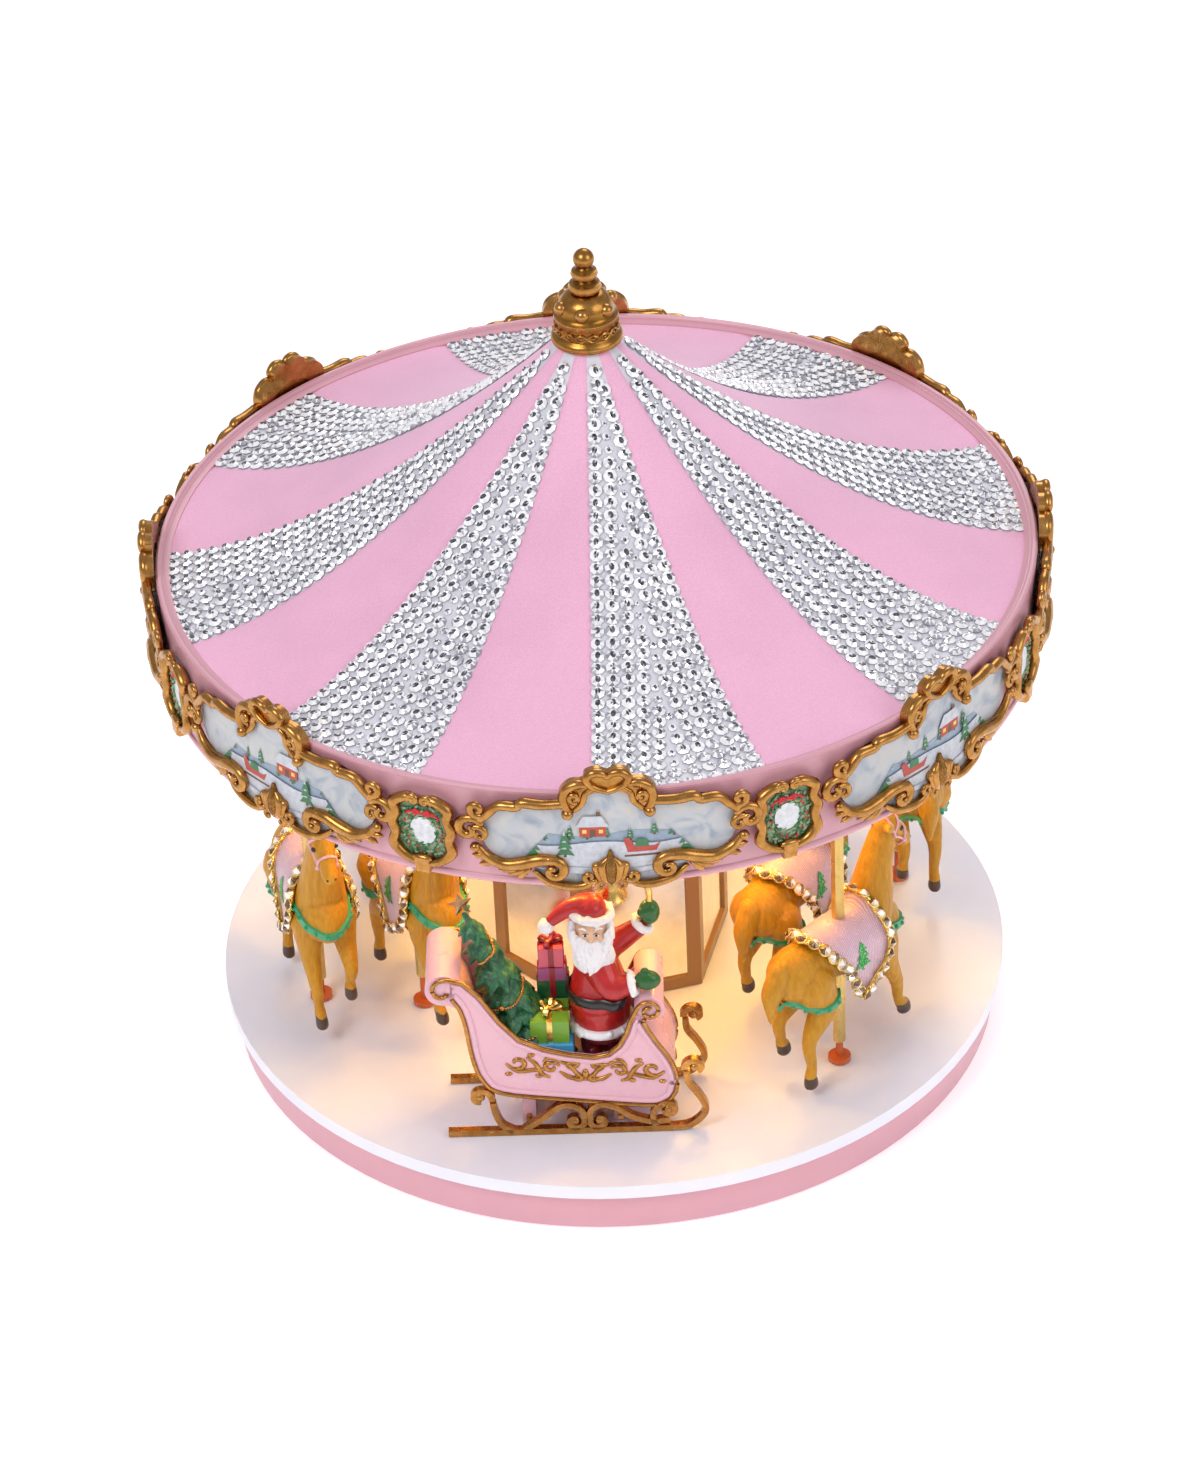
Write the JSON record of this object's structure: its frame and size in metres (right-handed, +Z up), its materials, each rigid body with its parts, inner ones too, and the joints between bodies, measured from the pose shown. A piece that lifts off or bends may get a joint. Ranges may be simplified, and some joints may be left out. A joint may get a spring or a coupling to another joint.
{
  "type": "carousel music box",
  "caption": "Tabletop musical carousel: tented gem-striped canopy with scroll cornice, rising reindeer on brass tubes and a gift sleigh on a turning platform.",
  "frame": {"origin": "centre of the resting plane under the base, on the carousel's axis", "axes": "+Z up along the carousel's axis; -Y is the front, with the sleigh; +Y is the back, with the power button; +X is to the viewer's right"},
  "size_m": [0.297, 0.297, 0.2908],
  "materials": {
    "pink_plastic": "satin moulded pink plastic",
    "roof_fabric": "pink velvet with stripes of clear faceted gems",
    "white_plastic": "satin white plastic",
    "antique_gold": "antique gold paint on moulded scrollwork",
    "brass_tube": "bright drawn brass",
    "bronze_frame": "bronze brown paint",
    "mirror_panel": "polished mirror",
    "zinc_steel": "zinc plated",
    "nylon": "natural nylon",
    "foot_rubber": "matt black",
    "black_plastic": "matt black",
    "circuit_green": "solder mask",
    "orange_plastic": "glossy orange-red",
    "reindeer_fur": "painted fur relief, pink glitter blanket with a gem border",
    "santa_paint": "hand-painted resin",
    "cargo_paint": "hand-painted resin"
  },
  "bodies": {
    "base": {"base_shell": "pink_plastic", "base_plate": "black_plastic", "foot_ring": "foot_rubber", "gear_motor": "zinc_steel", "circuit_board": "circuit_green", "speaker": "black_plastic", "center_post": "zinc_steel", "lift_cam": "nylon"},
    "carousel": {"platform": "white_plastic", "ring_gear": "nylon", "column_frame": "bronze_frame", "mirror_sleeve": "mirror_panel", "canopy_ceiling": "white_plastic", "canopy_drum": "pink_plastic", "roof_shell": "roof_fabric", "finial": "antique_gold", "cornice_segment_1": "antique_gold", "cornice_segment_2": "antique_gold", "cornice_segment_3": "antique_gold", "cornice_segment_4": "antique_gold", "cornice_segment_5": "antique_gold", "cornice_segment_6": "antique_gold", "cornice_segment_7": "antique_gold", "cornice_segment_8": "antique_gold", "guide_post_1": "orange_plastic", "guide_post_2": "orange_plastic", "guide_post_3": "orange_plastic", "guide_post_4": "orange_plastic", "guide_post_5": "orange_plastic", "guide_post_6": "orange_plastic", "guide_post_7": "orange_plastic", "guide_post_8": "orange_plastic", "guide_post_9": "orange_plastic", "guide_post_10": "orange_plastic", "sleigh_body": "pink_plastic", "sleigh_runners": "antique_gold", "santa": "santa_paint", "sleigh_cargo": "cargo_paint"},
    "drive_pinion": {"drive_pinion": "nylon"},
    "power_button": {"power_button": "antique_gold"},
    "reindeer_lift_1": {"reindeer_1": "reindeer_fur", "pole_tube_1": "brass_tube"},
    "reindeer_lift_2": {"reindeer_2": "reindeer_fur", "pole_tube_2": "brass_tube"},
    "reindeer_lift_3": {"reindeer_3": "reindeer_fur", "pole_tube_3": "brass_tube"},
    "reindeer_lift_4": {"reindeer_4": "reindeer_fur", "pole_tube_4": "brass_tube"},
    "reindeer_lift_5": {"reindeer_5": "reindeer_fur", "pole_tube_5": "brass_tube"},
    "reindeer_lift_6": {"reindeer_6": "reindeer_fur", "pole_tube_6": "brass_tube"},
    "reindeer_lift_7": {"reindeer_7": "reindeer_fur", "pole_tube_7": "brass_tube"},
    "reindeer_lift_8": {"reindeer_8": "reindeer_fur", "pole_tube_8": "brass_tube"},
    "reindeer_lift_9": {"reindeer_9": "reindeer_fur", "pole_tube_9": "brass_tube"},
    "reindeer_lift_10": {"reindeer_10": "reindeer_fur", "pole_tube_10": "brass_tube"}
  },
  "joints": [
    {"name": "carousel_spin", "type": "hinge", "parent": "base", "child": "carousel", "pos_m": [0, 0, 0.0203], "axis": [0, 0, 1], "continuous": true},
    {"name": "pinion_spin", "type": "hinge", "parent": "base", "child": "drive_pinion", "pos_m": [0.02025, 0, 0.0236], "axis": [0, 0, 1], "continuous": true},
    {"name": "power_button_press", "type": "slide", "parent": "base", "child": "power_button", "axis": [0, -1, 0], "range_m": [0, 0.0015], "stiffness_N_per_m": 200, "springref_m": -0.002},
    {"name": "reindeer_lift_1", "type": "slide", "parent": "carousel", "child": "reindeer_lift_1", "axis": [0, 0, 1], "range_m": [-0.0022, 0.0058]},
    {"name": "reindeer_lift_2", "type": "slide", "parent": "carousel", "child": "reindeer_lift_2", "axis": [0, 0, 1], "range_m": [-0.0058, 0.0022]},
    {"name": "reindeer_lift_3", "type": "slide", "parent": "carousel", "child": "reindeer_lift_3", "axis": [0, 0, 1], "range_m": [-0.0022, 0.0058]},
    {"name": "reindeer_lift_4", "type": "slide", "parent": "carousel", "child": "reindeer_lift_4", "axis": [0, 0, 1], "range_m": [-0.0058, 0.0022]},
    {"name": "reindeer_lift_5", "type": "slide", "parent": "carousel", "child": "reindeer_lift_5", "axis": [0, 0, 1], "range_m": [-0.0022, 0.0058]},
    {"name": "reindeer_lift_6", "type": "slide", "parent": "carousel", "child": "reindeer_lift_6", "axis": [0, 0, 1], "range_m": [-0.0058, 0.0022]},
    {"name": "reindeer_lift_7", "type": "slide", "parent": "carousel", "child": "reindeer_lift_7", "axis": [0, 0, 1], "range_m": [-0.0022, 0.0058]},
    {"name": "reindeer_lift_8", "type": "slide", "parent": "carousel", "child": "reindeer_lift_8", "axis": [0, 0, 1], "range_m": [-0.0058, 0.0022]},
    {"name": "reindeer_lift_9", "type": "slide", "parent": "carousel", "child": "reindeer_lift_9", "axis": [0, 0, 1], "range_m": [-0.0022, 0.0058]},
    {"name": "reindeer_lift_10", "type": "slide", "parent": "carousel", "child": "reindeer_lift_10", "axis": [0, 0, 1], "range_m": [-0.0058, 0.0022]}
  ],
  "couplings": [
    {"joint": "pinion_spin", "follows": "carousel_spin", "ratio": 4},
    {"joint": "reindeer_lift_2", "follows": "reindeer_lift_1", "ratio": -1},
    {"joint": "reindeer_lift_3", "follows": "reindeer_lift_1", "ratio": 1},
    {"joint": "reindeer_lift_4", "follows": "reindeer_lift_1", "ratio": -1},
    {"joint": "reindeer_lift_5", "follows": "reindeer_lift_1", "ratio": 1},
    {"joint": "reindeer_lift_6", "follows": "reindeer_lift_1", "ratio": -1},
    {"joint": "reindeer_lift_7", "follows": "reindeer_lift_1", "ratio": 1},
    {"joint": "reindeer_lift_8", "follows": "reindeer_lift_1", "ratio": -1},
    {"joint": "reindeer_lift_9", "follows": "reindeer_lift_1", "ratio": 1},
    {"joint": "reindeer_lift_10", "follows": "reindeer_lift_1", "ratio": -1}
  ]
}
